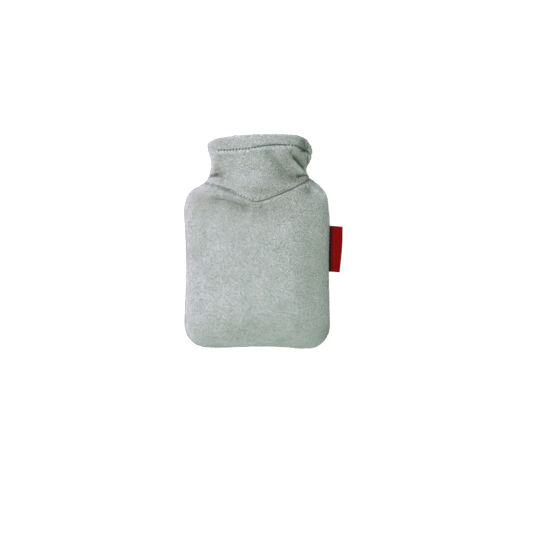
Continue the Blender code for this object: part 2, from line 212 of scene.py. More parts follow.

# Painted shade and painted highlight the same way along folds, with how much darker in the place of the
# depth.
PAINTED_SHADING_FOLDS = (
    # under the roll beneath the yoke seam's left half
    Fold(-40.0, 116.4, -3.0, 106.4, 0.3, 0.2, 1.4, 3.8, 11.0, 9.0),
    # the recess of the pleat, and its head
    Fold(26.0, 147.0, 38.0, 135.0, 0.0, 0.28, 3.8, 0.6, 4.0, 6.0),
    Fold(23.0, 149.0, 31.0, 144.5, 0.0, 0.14, 2.5, 2.5, 3.0, 4.0),
    # the bright edge that the yoke's row of beads runs along, and the dark below it
    Fold(-19.0, 119.8, -3.0, 113.4, 0.0, -0.14, 1.4, 1.4, 4.0, 4.0),
    Fold(-30.0, 117.8, -7.0, 110.0, 0.0, 0.15, 1.7, 1.8, 5.0, 4.0),
    # the lighter strip just under the yoke seam's right half
    Fold(3.0, 110.0, 41.0, 126.2, 0.0, -0.16, 1.3, 1.5, 5.0, 3.0),
    # the light that the pile catches along the rim
    Fold(-26.0, 161.5, 32.0, 162.4, 1.3, -0.22, 1.0, 1.4, 4.0, 3.0),
    # the painted highlight beside the soft valley down the collar
    Fold(15.5, 143.5, 21.0, 135.5, 0.0, -0.08, 1.8, 2.2, 2.0, 2.0),
    # the light edge beside the pleat
    Fold(27.5, 142.5, 39.0, 131.6, 0.0, -0.13, 0.8, 1.3, 4.0, 1.5),
    # the crease that draws the hem in
    Fold(36.0, 161.5, 36.6, 149.5, 0.0, 0.22, 1.4, 2.8, 2.0, 2.0),
)

# ---------------------------------------------------------------- what sewing does to the cloth

STITCH = 2.4  # from one lockstitch to the next
STITCH_LENGTH = 1.6  # how much of that shows
THREAD = 0.6  # thickness of the sewing thread, drawn a little thick so that it shows
THREAD_SINKS = 0.5  # how much deeper it lies where it is pulled hard
BEAD_RINGS = 7  # rings of points along one stitch that shows
BEAD_SIDES = 6  # points round each ring
BEAD_HIGH = 0.9  # how high a stitch's middle lies, in thicknesses of the thread
BEAD_DIVES = 1.4  # and how far its ends dive below that
BEAD_BLUNT = 1.06  # how blunt its ends are, where 1 is pointed

EDGE_ROUND = 0.9  # how round the cloth rolls into a seam
THINNEST = 0.5  # the least share of its thickness that the cloth keeps there
PUCKER = 0.16  # height of the puckers that the stitches pull along a seam
PUCKER_PITCH = 4.7  # from one pucker to the next
PUCKER_REACH = 3.5  # how far they run from the seam
PUCKER_SLANT = 0.8  # how the hem's puckers slant, in radians of their wave for each millimetre

HEM_GROOVE = 0.6  # how deep and how wide the hem's stitches pull the cloth down
HEM_GROOVE_WIDTH = 1.5
HEM_NOTCH = 1.4  # and how deep and wide the thread cuts into the pile along them
HEM_NOTCH_WIDTH = 0.42
HEM_NOTCH_SLACK = 0.6  # the share by which that is wider where the thread is slack
HEM_NOTCH_SOON = 2.0  # how soon it is deep, and how soon dark, as the thread is pulled harder
HEM_SHADE_SOON = 3.0
HEM_STEP = 0.35  # how far the hem's lower edge stands over the cloth below
HEM_STEP_RISE = 0.8  # over how much it rises above the stitches
HEM_STEP_END = 8.0  # how far above them it is gone again
HEM_STEP_FADE = 6.0  # and over how much it goes
HEM_SWELL = 0.5  # how far the doubled cloth of the hem stands out
HEM_BELOW = 0.5  # how far the cloth puffs out below the stitches
HEM_BELOW_AT = 2.6  # how far below them
HEM_BELOW_WIDTH = 1.5
HEM_TURNED = 2.0  # how thick the hem's turned-in cloth is inside the mouth
HEM_TURNED_END = 1.5  # how far below the stitches it ends
HEM_TURNED_STEEP = 4.0  # and how steeply

YOKE_DIP = 0.8  # how far the body dips under the collar's pointed edge
YOKE_DIP_REACH = 1.1
YOKE_LIFT = 0.35  # how far that edge stands up over it
YOKE_LIFT_REACH = 3.0
YOKE_ROUND = 0.6  # and how round it is
YOKE_SLACK = 1.2  # how far it rolls under instead where it is sewn slackly
YOKE_SLACK_LIP = 0.6  # the lip that rolls under the whole way, and over how much the rest does
YOKE_SLACK_REACH = 1.2
SEAM_NOTCH = 1.2  # how much deeper the pile dives right beside a seam
SEAM_NOTCH_WIDTH = 0.32
LIP_DIMPLE = 0.4  # how deep the stitches dimple the collar's edge, how far from it and how wide
LIP_DIMPLE_AT = 1.2
LIP_DIMPLE_WIDTH = 0.7
BEADED_FROM = -0.46  # the shares across that the yoke's stitches show between
BEADED_TO = 0.0
BEADED_SINKS = 0.1  # how deep they lie

SEAM_SHADE_WIDTH = 0.22  # how wide the dark is on the collar's side of the yoke seam
SEAM_SHADE_HOLE = 0.2  # and how much wider at the hole of a stitch
SLACK_SHADE = 0.7  # how dark it is there where the seam is slack, and how far
SLACK_SHADE_REACH = 0.8
BODY_SHADE_WIDTH = 0.4  # how wide the dark is on the body's side
BODY_SLACK_SHADE = 0.5  # how dark it is there where the seam is slack, and how wide
BODY_SLACK_WIDTH = 1.7
BODY_SEWN_RISE = 1.5  # how soon, from the side seams on, the body's dip is full
COLLAR_SEWN_RISE = 1.8  # the same for what sewing does to the collar
COLLAR_SEWN_LEAST = 0.15  # and the share of it that the side seams keep

RUMPLE = 0.16  # height of the cloth's slow unevenness
RUMPLE_PITCH = 17.0  # from one swell to the next
NAP = 0.022  # height of the tufts that the pile gathers in
NAP_SIZE = 1.9  # from one tuft to the next
NAP_ROLLS = 0.4  # how far their pattern moves along as the cloth curves down
CALM = 2.0  # over how much both fade beside an edge
SWELLS = 6  # sine waves in a sum of swells
GOLDEN_ANGLE = 2.39996  # in radians

HOLLOW_REACH = 1.1  # how far beside a point the cloth is compared with it
HOLLOW_LEAST = 0.4  # the least distance that counts
CREASE_FULL = 0.5  # how hollow a crease is when its painted shade is darkest

PILE = 0.9  # how far the pile's tufts stand out
PILE_STANDS = 0.5  # how high the leaning tufts reach over the knit, within the cloth's thickness
PILE_SUNK = 0.35  # and how far their roots lie below
TUFT_THICK = 0.26  # half of a tuft's thickness at its root
TUFTS = 2.6  # tufts on a square millimetre, fewer and thicker than real ones
TUFT_UNLIKE = 0.105  # how unlike in tone they are
TUFT_UNTIDY = 0.35  # how far each leans its own way
TUFT_SHORTEST = 0.75  # the shortest as a share of PILE, and how much of it the longest have more
TUFT_LONGER = 0.5
TUFT_CREASED = 1.1  # how much shorter the darkest crease makes them
TUFT_LEAST = 0.05  # and the share that stays
NAP_LEAN = np.array([0.0, -0.55, 0.0])  # the nap strokes down towards the bottom
FLOOR_GAP = 0.02  # the lowest tufts end this far over the floor

# The folded tape in the right side seam.
TAB_LOW = 58.1  # heights of its lower and upper edge
TAB_HIGH = 93.5
TAB_MIDDLE = 81.0  # a height between them
TAB_REACH_LOW = 63.8  # how far to the right it reaches at the three
TAB_REACH_MIDDLE = 65.9
TAB_REACH_HIGH = 66.1
TAB_SEWN_IN = 1.2  # how far it reaches into the seam
TAB_LAYER = 0.42  # thickness of the tape
TAB_OPEN = 0.5  # half of the tab's height where the fold bows open
TAB_FOLD = 1.6  # how round the fold is, as a power
TAB_DROOP = 0.8  # how far its fold hangs down
TAB_SKEW = 0.7  # and how far it slants towards the bottom
TAB_RIPPLE = 0.12  # height of its ripple, and the length of that in which its angle grows by 1
TAB_RIPPLE_LENGTH = 5.0
TAB_SHADE_FROM = 0.6  # how far past the seam it lies in full shade, and over how much that fades
TAB_SHADE_REACH = 3.2
TAB_ROWS = 57  # points along the seam, and round from one end of the strip to the other
TAB_COLUMNS = 49


def smooth(at, places, values):
    """A smooth curve through values given at places: a cubic between each two, with the slopes
    that their neighbours give."""
    places = np.asarray(places, float)
    values = np.asarray(values, float)
    slopes = np.gradient(values, places)
    at = np.clip(at, places[0], places[-1])
    k = np.clip(np.searchsorted(places, at) - 1, 0, len(places) - 2)
    step = places[k + 1] - places[k]
    t = (at - places[k]) / step
    start = (1 + 2 * t) * (1 - t) ** 2 * values[k] + t * (1 - t) ** 2 * step * slopes[k]
    end = t**2 * (3 - 2 * t) * values[k + 1] + t**2 * (t - 1) * step * slopes[k + 1]
    return start + end


def eased(distance, ease):
    """0 up to a distance of 0, 1 from ease onwards, and the smooth step 3tt - 2ttt between."""
    t = np.clip(distance / ease, 0, 1)
    return t * t * (3 - 2 * t)


def bell(distance, width):
    """1 at a distance of 0, falling to nothing past the width: e to the power of minus the
    square of their ratio."""
    return np.exp(-((distance / width) ** 2))


def rolled(distance, radius):
    """How far the cloth has rolled down at a distance from its edge: a quarter circle."""
    inside = np.clip(radius - distance, 0, radius)
    return radius - np.sqrt(radius**2 - inside**2)


def waves(x, y, pitch):
    """Uneven swells about one pitch apart: a mean of sine waves, each a little longer than the last and
    turned from it by the golden angle."""
    total = np.zeros_like(x)
    for k in range(SWELLS):
        angle = GOLDEN_ANGLE * k
        phase = (x * np.cos(angle) + y * np.sin(angle)) * 2 * np.pi / (pitch * (0.8 + 0.09 * k))
        total += np.sin(phase + 1.7 * k * k)
    return total / SWELLS


def section(height, key):
    """One column of the section table at any height."""
    return smooth(height, [s.height for s in SECTIONS], [getattr(s, key) for s in SECTIONS])


def line(marked, share):
    """The height of a line over the cover at a share across, from its marked stations."""
    return smooth(share, [s.share for s in marked], [s.height for s in marked])


def shares(columns):
    """Shares across a section, from -1 to 1: even angles on a superellipse, so closer at the sides."""
    angle = np.linspace(-np.pi / 2, np.pi / 2, columns + 1)
    s = np.sin(angle)
    c = np.abs(np.cos(angle))
    return s / (np.abs(s) ** SPREAD + c**SPREAD) ** (1 / SPREAD)


def rise(share, height):
    """How far a section has risen at a share across: from 0 at the side seams to 1 in the middle, along the
    superellipse of the section's own power."""
    square = section(height, "square")
    return np.clip(1 - np.abs(share) ** square, 0, 1) ** (1 / square)


def rows_between(guides, steps):
    """Heights of rows that divide the strips between guide lines into steps, both end lines included."""
    rows = [guides[0]]
    for low, high, count in zip(guides, guides[1:], steps):
        rows += [low + (high - low) * k / count for k in range(1, count + 1)]
    return np.array(rows)


def along_folds(folds, x, height):
    """The sum of the folds at a place: each is a bell across its line, which bows as a parabola,
    eased at both ends."""
    total = np.zeros_like(x)
    for fold in folds:
        dx = fold.x1 - fold.x0
        dy = fold.height1 - fold.height0
        length = np.hypot(dx, dy)
        along = ((x - fold.x0) * dx + (height - fold.height0) * dy) / length
        aside = ((height - fold.height0) * dx - (x - fold.x0) * dy) / length
        t = np.clip(along / length, 0, 1)
        aside = aside - fold.bow * 4 * t * (1 - t)
        width = np.where(aside > 0, fold.left_width, fold.right_width)
        reach = eased(along, fold.ease_in) * eased(length - along, fold.ease_out)
        total += fold.depth * reach * np.exp(-(np.abs(aside / width) ** FOLD_SHOULDER))
    return total


def painted_shading_and_tone(points):
    """How much painted shade each point takes, or painted highlight where below 0: the sum of the soft
    patches, each a bell, and of the folds of painted shading."""
    x = points[..., 0]
    height = points[..., 1] + REST_HEIGHT
    total = np.zeros_like(x)
    for at_x, at_height, across, up, darker in PAINTED_SHADING_PATCHES:
        far = ((x - at_x) / across) ** 2 + ((height - at_height) / up) ** 2
        total += darker * np.exp(-far)
    return total + along_folds(PAINTED_SHADING_FOLDS, x, height)


def tight(share):
    """How tightly the yoke seam is drawn at a share across: loose and shallow left of its point,
    full right of it."""
    loose = 0.22
    return loose + (1 - loose) * eased(share + 0.1, 0.15)


def slack(share):
    """Where the yoke seam is sewn so slackly that its edge rolls under: left of its point, and less again
    at the left end."""
    at_left_end = 0.7
    return eased(-0.24 - share, 0.1) * (at_left_end + (1 - at_left_end) * eased(share + 0.66, 0.16))


def beaded(share):
    """Where the yoke's stitches show as a row of beads along its edge: left of its point."""
    return eased(share + 0.5, 0.1) * eased(0.0 - share, 0.06)


def pulled(share):
    """How hard the hem's thread is pulled in at a share across: slack at the left end, hard from the middle
    on, and easing where the hem folds over at the right."""
    places = [-1, -0.88, -0.8, -0.3, 0, 0.5, 0.62, 0.7, 0.8, 1]
    pulls = [0, 0, 0.35, 0.4, 0.9, 1, 0.4, 0.8, 1, 0.8]
    return smooth(share, places, pulls)


def puckers(distance, along, slant):
    """The puckers that stitches pull along a seam: a sine wave along it, its angle shifted by slant, that
    fades as a bell with the distance from it."""
    return PUCKER * bell(distance, PUCKER_REACH) * np.sin(2 * np.pi * along / PUCKER_PITCH + slant)


def skin(share, swell, height, above_bottom, facing):
    """The outer face at shares across and heights: superellipse sections whose reach comes from the table,
    drawn in at the lower corners by an ellipse, and the back pressed flat where it lies on the floor."""
    left = section(height, "left")
    right = section(height, "right")
    up = np.clip(1 - above_bottom / CORNER_UP, 0, 1)
    half = (left + right) / 2 - CORNER_ACROSS * (1 - np.sqrt(1 - up**2))
    x = (right - left) / 2 + half * share
    if facing > 0:
        z = SEAM_Z + section(height, "front") * swell
    else:
        z = SEAM_Z - section(height, "back") * swell
        flat = np.clip(z + PRESSED, 0, None) ** 2 / (4 * PRESSED)
        z = np.where(z > PRESSED, z, flat)
    return np.stack([x, height - REST_HEIGHT, z], axis=-1)


def outward(points, facing):
    """Unit normals of a grid of points, from the cross product of its two directions."""
    up, over = np.gradient(points, axis=(0, 1))
    normal = np.cross(over, up) * facing
    return normal / np.maximum(np.linalg.norm(normal, axis=-1, keepdims=True), 1e-9)


def run(points, axis):
    """How far each point of a grid is along its row (axis 1) or column (axis 0),
    measured over the surface."""
    step = np.linalg.norm(np.diff(points, axis=axis), axis=-1)
    start = np.zeros_like(np.take(step, [0], axis=axis))
    return np.cumsum(np.concatenate([start, step], axis=axis), axis=axis)


def hollow(points, normal):
    """How deep each point lies in a crease: how far the points HOLLOW_REACH to its four sides stand above
    its tangent plane, as a mean share of their distance."""
    total = np.zeros(points.shape[:2])
    for axis in (0, 1):
        spacing = np.linalg.norm(np.diff(points, axis=axis), axis=-1).mean()
        step = max(int(round(HOLLOW_REACH / spacing)), 1)
        count = points.shape[axis]
        for way in (-step, step):
            beside = np.take(points, np.clip(np.arange(count) + way, 0, count - 1), axis=axis)
            to = beside - points
            total += (to * normal).sum(-1) / np.maximum(np.linalg.norm(to, axis=-1), HOLLOW_LEAST)
    return total / 4


def cloth(points, swell, facing, relief, thickness, low_round, seam_dark):
    """The outer and inner face of a panel, and the painted shade of its pile in creases and beside seams,
    with the painted shading and highlights of the front. The folds lower the front, relief raises it along
    the unfolded shape's normals, both faces roll into each other at the four edges by quarter circles, and
    the inner face has every second point of the grid."""
    normal = outward(points, facing)
    across = run(points, 1)
    up = run(points, 0)
    others = np.minimum.reduce([across, across[:, -1:] - across, up[-1:] - up])
    drop = np.maximum(rolled(others, EDGE_ROUND), rolled(up, low_round))
    slow = RUMPLE * waves(points[..., 0], points[..., 1], RUMPLE_PITCH)
    tufts = NAP * waves(points[..., 0] + NAP_ROLLS * points[..., 2], points[..., 1], NAP_SIZE)
    calm = np.clip(np.minimum(others, up) / CALM, 0, 1)
    if facing > 0:
        depth = along_folds(FOLDS, points[..., 0], points[..., 1] + REST_HEIGHT)
        points = points - [0, 0, 1] * (depth * np.clip(swell / FOLD_RISE, 0, 1))[..., None]
    outer = points + normal * (relief + (slow + tufts) * calm - drop - PILE_STANDS)[..., None]
    deep = np.maximum(thickness - drop, thickness * THINNEST)
    inner = (points - normal * deep[..., None])[::2, ::2]
    # painted shade: darker the deeper the cloth lies in a crease, and beside the seams and in stitch holes
    crease = np.clip(hollow(outer, outward(outer, facing)) / CREASE_FULL, 0, 1)
    crease = np.maximum(crease, seam_dark)
    # painted shade in creases and beside seams, and on the front the painted shading patches and folds
    dark = {"crease": crease, "painted_shading_and_tone": painted_shading_and_tone(outer) if facing > 0 else 0 * crease}
    return outer, inner, dark


def body_panel(name, columns, roll_rows, rows, seam_line, facing):
    """One side of the body: rows that roll up from the bottom edge along a superellipse, then rows up to
    the seam, where it dips under the collar's edge."""
    share = shares(columns)
    angle = np.linspace(0, np.pi / 2, roll_rows + 1)
    radius = (np.cos(angle) ** BOTTOM_SQUARE + np.sin(angle) ** BOTTOM_SQUARE) ** (-1 / BOTTOM_SQUARE)
    lift = 1 - radius * np.cos(angle)
    thick = np.clip(radius * np.sin(angle), 0, 1)
    thick[0] = 0.0
    edge = line(BOTTOM_EDGE, share)
    seam = line(seam_line, share)
    curled = edge + BOTTOM_ROLL * lift[:, None]
    guides = [curled[-1], BODY_GUIDE + 0 * share, *(seam - below for below in BODY_SEAM_GUIDES), seam]
    above = rows_between(guides, rows)[1:]
    height = np.concatenate([curled, above])
    full = np.concatenate([thick, np.ones(len(above))])
    swell = rise(share, height) * full[:, None]
    points = skin(share, swell, height, height - edge, facing)
    to_seam = seam - height
    high = np.clip(swell * BODY_SEWN_RISE, 0, 1) * tight(share)
    relief = -YOKE_DIP * bell(to_seam, YOKE_DIP_REACH) * high
    relief -= SEAM_NOTCH * bell(to_seam, SEAM_NOTCH_WIDTH) * high
    relief += puckers(to_seam, run(points, 1), height)
    # painted shade beside the yoke seam, wider where it is sewn slackly
    sewn = bell(to_seam, BODY_SHADE_WIDTH) * tight(share)
    sewn = np.maximum(sewn, BODY_SLACK_SHADE * bell(to_seam, BODY_SLACK_WIDTH) * slack(share))
    outer, inner, dark = cloth(points, swell, facing, relief, CLOTH + 0 * height, EDGE_ROUND, sewn)
    return [shell(name, outer, inner, dark, facing), pile(name + "_pile", outer, dark, facing, BODY_SEED)]


def collar_panel(name, columns, rows, seam_line, hem_line, rim_line, facing):
    """One side of the collar: rows up from the seam, over the groove of the hem's stitches, to the
    rim. Its relief is the sum of the groove, its notches, step and swell, the seam's lifted or rolled
    edge, and the puckers."""
    share = shares(columns)
    seam = line(seam_line, share)
    stitched = line(hem_line, share)
    rim = line(rim_line, share)
    guides = [seam, seam + EDGE_ROUND, seam + COLLAR_SEAM_GUIDE]
    guides += [stitched + beside for beside in HEM_GUIDES]
    guides += [rim - EDGE_ROUND, rim]
    height = rows_between(guides, rows)
    swell = rise(share, height)
    points = skin(share, swell, height, height, facing)
    to_seam = height - seam
    over = height - stitched
    along = run(points, 1)
    pull = pulled(share)
    hole = 0.5 + 0.5 * np.cos(2 * np.pi * along / STITCH)

    # the hem's stitches: single holes where the thread is slack, and one notch where it is pulled hard
    closed = 0.5 * pull**2
    holes = hole**2 * (1 - closed) + closed
    notch = bell(over, HEM_NOTCH_WIDTH * (1 + HEM_NOTCH_SLACK * (1 - pull))) * holes
    relief = -HEM_GROOVE * bell(over, HEM_GROOVE_WIDTH) * pull
    relief -= HEM_NOTCH * notch * np.clip(HEM_NOTCH_SOON * pull, 0, 1)
    relief += HEM_STEP * eased(over, HEM_STEP_RISE) * eased(HEM_STEP_END - over, HEM_STEP_FADE) * pull
    up_the_hem = np.clip(over / (rim - stitched), 0, 1)
    relief += HEM_SWELL * np.sqrt(np.sin(np.pi * up_the_hem))
    relief += HEM_BELOW * bell(over + HEM_BELOW_AT, HEM_BELOW_WIDTH)

    # the seam's edge: lifted and dimpled where it is tight, rolled under where it is slack
    beads = bell(to_seam - EDGE_ROUND, HEM_NOTCH_WIDTH) * hole**2 * beaded(share)
    relief += YOKE_LIFT * bell(to_seam, YOKE_LIFT_REACH) * tight(share)
    relief -= YOKE_SLACK * (1 - eased(to_seam - YOKE_SLACK_LIP, YOKE_SLACK_REACH)) * slack(share)
    relief -= LIP_DIMPLE * bell(to_seam - LIP_DIMPLE_AT, LIP_DIMPLE_WIDTH) * hole * tight(share)
    relief -= HEM_NOTCH * beads
    relief *= np.clip(swell * COLLAR_SEWN_RISE, COLLAR_SEWN_LEAST, 1)
    relief += puckers(to_seam, along, 0.0)
    relief += puckers(over, along, PUCKER_SLANT * over)

    # painted shade along the hem's stitch holes, beside the yoke seam, wider where it is slack, and at its
    # beads
    slack_shade = SLACK_SHADE * (1 - eased(to_seam - SLACK_SHADE_REACH, SLACK_SHADE_REACH)) * slack(share)
    tight_shade = bell(to_seam, SEAM_SHADE_WIDTH + SEAM_SHADE_HOLE * hole) * tight(share)
    hem_shade = notch * np.clip(HEM_SHADE_SOON * pull, 0, 1)
    sewn = np.maximum.reduce([hem_shade, tight_shade, slack_shade, beads])
    turned = HEM_TURNED / (1 + np.exp(-HEM_TURNED_STEEP * (over + HEM_TURNED_END)))
    outer, inner, dark = cloth(points, swell, facing, relief, CLOTH + turned, YOKE_ROUND, sewn)

    out = outward(outer, facing)
    middle = sum(rows[:GROOVE_STRIP]) + rows[GROOVE_STRIP] // 2
    sinks = THREAD_SINKS * pull
    threads = [stitch_row(name + "_stitches", outer[middle], out[middle], along[middle], sinks)]
    if facing > 0:
        edge = rows[0]
        shown = (share > BEADED_FROM) & (share < BEADED_TO)
        sinks = np.full(shown.sum(), BEADED_SINKS)
        edge_row = (outer[edge, shown], out[edge, shown], along[edge, shown], sinks)
        threads.append(stitch_row(name + "_edge_stitches", *edge_row))
    nap = pile(name + "_pile", outer, dark, facing, COLLAR_SEED)
    return [shell(name, outer, inner, dark, facing), nap, *threads]


def shell(name, outer, inner, dark, facing):
    """One closed mesh: the outer grid, the inner grid at half its density, and a rim of five-sided faces
    that joins them. The inner faces take the second material."""
    rows, columns = outer.shape[:2]
    number = np.arange(rows * columns).reshape(rows, columns)
    under = rows * columns + np.arange(inner.shape[0] * inner.shape[1]).reshape(inner.shape[:2])
    outside = quads(number)
    inside = quads(under)[:, ::-1]
    fine = around(number)
    coarse = around(under)
    start = np.arange(0, len(fine), 2)
    after = np.roll(coarse, -1)
    rim = np.stack([fine[start], coarse, after, np.roll(fine, -2)[start], fine[start + 1]], axis=-1)
    faces = [*outside.tolist(), *inside.tolist(), *rim.tolist()]
    if facing < 0:
        faces = [face[::-1] for face in faces]
    points = np.concatenate([outer.reshape(-1, 3), inner.reshape(-1, 3)])
    piece = made(name, points, faces)
    slots = np.zeros(len(faces), np.int32)
    slots[len(outside) : len(outside) + len(inside)] = 1
    piece.data.polygons.foreach_set("material_index", slots)
    for key, value in dark.items():
        remember(piece, key, np.concatenate([value.ravel(), value[::2, ::2].ravel()]))
    return piece


def pile(name, outer, dark, facing, seed):
    """The cut pile: tufts scattered evenly over the outer face, each a slim three-sided pyramid sunk
    in the knit, that leans down the nap with its tip turned a little at random. Pressed cloth and
    creases have short ones."""
    chance = np.random.default_rng(seed)
    step_up = np.diff(outer, axis=0)[:, :-1]
    step_over = np.diff(outer, axis=1)[:-1]
    area = np.linalg.norm(np.cross(step_over, step_up), axis=-1)
    count = int(area.sum() * TUFTS)
    cell = np.searchsorted(np.cumsum(area.ravel()), chance.random(count) * area.sum())
    row, column = np.unravel_index(np.minimum(cell, area.size - 1), area.shape)
    up, over = chance.random((2, count))

    def between(grid):
        """A grid's values at the tufts' roots, each the mean of its cell's four
        corners, weighted by nearness."""
        low = grid[row, column].T * (1 - over) + grid[row, column + 1].T * over
        high = grid[row + 1, column].T * (1 - over) + grid[row + 1, column + 1].T * over
        return (low * (1 - up) + high * up).T

    root = between(outer)
    normal = between(outward(outer, facing))
    crease = between(dark["crease"])
    shading_at_roots = between(dark["painted_shading_and_tone"])
    lean = normal + NAP_LEAN + TUFT_UNTIDY * chance.normal(size=(count, 3))
    lean /= np.linalg.norm(lean, axis=-1, keepdims=True)
    kept = np.clip(1 - TUFT_CREASED * crease, TUFT_LEAST, 1)
    length = PILE * (TUFT_SHORTEST + TUFT_LONGER * chance.random(count)) * kept
    side = np.cross(lean, chance.normal(size=(count, 3)))
    side /= np.linalg.norm(side, axis=-1, keepdims=True)
    other = np.cross(lean, side)
    angle = np.array([0, 2 * np.pi / 3, 4 * np.pi / 3])
    ring = side[:, None] * np.cos(angle)[:, None] + other[:, None] * np.sin(angle)[:, None]
    low = (root - normal * PILE_SUNK)[:, None] + ring * TUFT_THICK
    points = np.concatenate([low, (root + lean * length[:, None])[:, None]], axis=1).reshape(-1, 3)
    points[:, 2] = np.maximum(points[:, 2], FLOOR_GAP)
    start = 4 * np.arange(count)[:, None]
    faces = np.concatenate([start + [0, 1, 3], start + [1, 2, 3], start + [2, 0, 3], start + [0, 2, 1]])
    piece = made(name, points, faces.tolist())
    # each tuft takes the painted shade and painted shading of the cloth at its root, and its own random
    # tone
    remember(piece, "crease", np.repeat(crease, 4))
    remember(piece, "painted_shading_and_tone", np.repeat(shading_at_roots + TUFT_UNLIKE * chance.normal(size=count), 4))
    return piece


def stitch_row(name, path, normal, along, sinks):
    """Stitches of thread along a path: each is a slim closed bead of rings, thick in the middle and sunk at
    both ends, where the thread dives into the cloth. They lie midway between the holes along the seam, and
    deeper where the thread is pulled hard."""
    stitch = np.arange(np.ceil(along[0] / STITCH), np.floor(along[-1] / STITCH))[:, None]
    first = (stitch + 0.5) * STITCH - STITCH_LENGTH / 2
    turn = np.linspace(-1, 1, BEAD_RINGS)[None, :]
    at = first + STITCH_LENGTH * (0.5 + 0.5 * turn)
    place = np.stack([np.interp(at, along, path[:, k]) for k in range(3)], axis=-1)
    out = np.stack([np.interp(at, along, normal[:, k]) for k in range(3)], axis=-1)
    ahead = np.gradient(place, axis=1)
    ahead /= np.linalg.norm(ahead, axis=-1, keepdims=True)
    side = np.cross(ahead, out)
    deeper = np.interp(at, along, sinks)
    place = place + out * (THREAD * (BEAD_HIGH - BEAD_DIVES * turn**2) - deeper)[..., None]
    thick = THREAD / 2 * np.sqrt(BEAD_BLUNT - turn**2)
    angle = np.linspace(0, 2 * np.pi, BEAD_SIDES + 1)[:-1]
    ring = side[:, :, None] * np.cos(angle)[:, None] + out[:, :, None] * np.sin(angle)[:, None]
    points = place[:, :, None] + ring * thick[..., None, None]
    number = np.arange(points.size // 3).reshape(points.shape[:3])
    after = np.roll(number, -1, axis=2)
    walls = np.stack([number[:, :-1], after[:, :-1], after[:, 1:], number[:, 1:]], axis=-1).reshape(-1, 4)
    ends = [*number[:, 0, ::-1].tolist(), *number[:, -1].tolist()]
    return made(name, points.reshape(-1, 3), [*walls.tolist(), *ends])


def woven_tab():
    """The folded tab: a strip whose section runs out from the seam, round the outer fold and back, as a
    slim loop that is widest near the fold. It droops with the square of the way out, slants in step with
    it, and ripples along the seam as a sine wave."""
    height = np.linspace(TAB_LOW, TAB_HIGH, TAB_ROWS)[:, None]
    turn = np.linspace(0, 1, TAB_COLUMNS)[None, :]
    out = 1 - np.abs(1 - 2 * turn) ** TAB_FOLD
    side = section(height, "right") - TAB_SEWN_IN
    reaches = [TAB_REACH_LOW, TAB_REACH_MIDDLE, TAB_REACH_HIGH]
    reach = smooth(height, [TAB_LOW, TAB_MIDDLE, TAB_HIGH], reaches)
    x = side + (reach - side) * out
    y = height - TAB_SKEW * out - REST_HEIGHT
    loop = TAB_OPEN * np.clip(1 - out**3, 0, 1) ** 0.5 * np.sign(0.5 - turn)
    z = SEAM_Z - TAB_DROOP * out**2 + loop + TAB_RIPPLE * np.sin(height / TAB_RIPPLE_LENGTH) * out
    strip = np.stack([x, y, z], axis=-1)
    inner = (strip - outward(strip, 1) * TAB_LAYER)[::2, ::2]
    # painted shadow on the tape beside the cloth, kept in its crease attribute
    shade = 1 - eased(x - side - TAB_SEWN_IN - TAB_SHADE_FROM, TAB_SHADE_REACH)
    return shell("tab_tape", strip, inner, {"crease": shade}, 1)


def quads(number):
    """The four-sided faces of a grid of numbered points."""
    corners = [number[:-1, :-1], number[:-1, 1:], number[1:, 1:], number[1:, :-1]]
    return np.stack(corners, axis=-1).reshape(-1, 4)


def around(number):
    """The numbers round the edge of a grid, starting at its first point."""
    return np.concatenate([number[0], number[1:, -1], number[-1, -2::-1], number[-2:0:-1, 0]])


def made(name, points, faces):
    """A smooth-shaded mesh object from points in millimetres."""
    mesh = bpy.data.meshes.new(name)
    mesh.from_pydata((points * MM).tolist(), [], faces)
    mesh.shade_smooth()
    piece = bpy.data.objects.new(name, mesh)
    bpy.context.scene.collection.objects.link(piece)
    return piece


def remember(piece, key, values):
    """Keeps a number at each of a piece's points, for its finish to read."""
    piece.data.attributes.new(key, "FLOAT", "POINT").data.foreach_set("value", values)


# ---------------------------------------------------------------- finishes

FLECK = 0.8  # from one fleck of the pile to the next, coarser than the real pile's, so that it shows
PATCH = 9.091  # from one slow patch of tone to the next
BUMP_TUFT = 0.9091  # from one tuft to the next in the bump, coarser than real for the same reason
BUMP_HEIGHT = 0.4  # how high they stand in it
KNIT_RIB = 1.9635  # from one rib of the knit to the next, about twice the real one's, so that it shows
TAPE_RIB = 0.748  # from one rib of the tape to the next, about twice the real one's
WAVE_LENGTH = 2 * np.pi / 20  # length of one band of the wave texture when its scale is 1


def linear(hex_colour):
    """An sRGB hex colour as linear red, green, blue and alpha."""
    values = [int(hex_colour[i : i + 2], 16) / 255 for i in (1, 3, 5)]
    return [v / 12.92 if v <= 0.04045 else ((v + 0.055) / 1.055) ** 2.4 for v in values] + [1.0]


def add(tree, kind, inputs=(), **settings):
    """Adds a shader node with its settings. A socket among the inputs is linked, and a value is set."""
    node = tree.nodes.new("ShaderNode" + kind)
    for key, value in settings.items():
        setattr(node, key, value)
    for key, value in dict(inputs).items():
        if isinstance(value, bpy.types.NodeSocket):
            tree.links.new(value, node.inputs[key])
        else:
            node.inputs[key].default_value = value
    return node


def finish(name, **surface):
    """A new material, its node tree and its Principled shader with values set on the shader's own sockets.
    A socket is named by its words with underscores between them."""
    material = bpy.data.materials.new(name)
    material.use_nodes = True
    shader = material.node_tree.nodes["Principled BSDF"]
    for key, value in surface.items():
        shader.inputs[key.replace("_", " ")].default_value = value
    return material, material.node_tree, shader


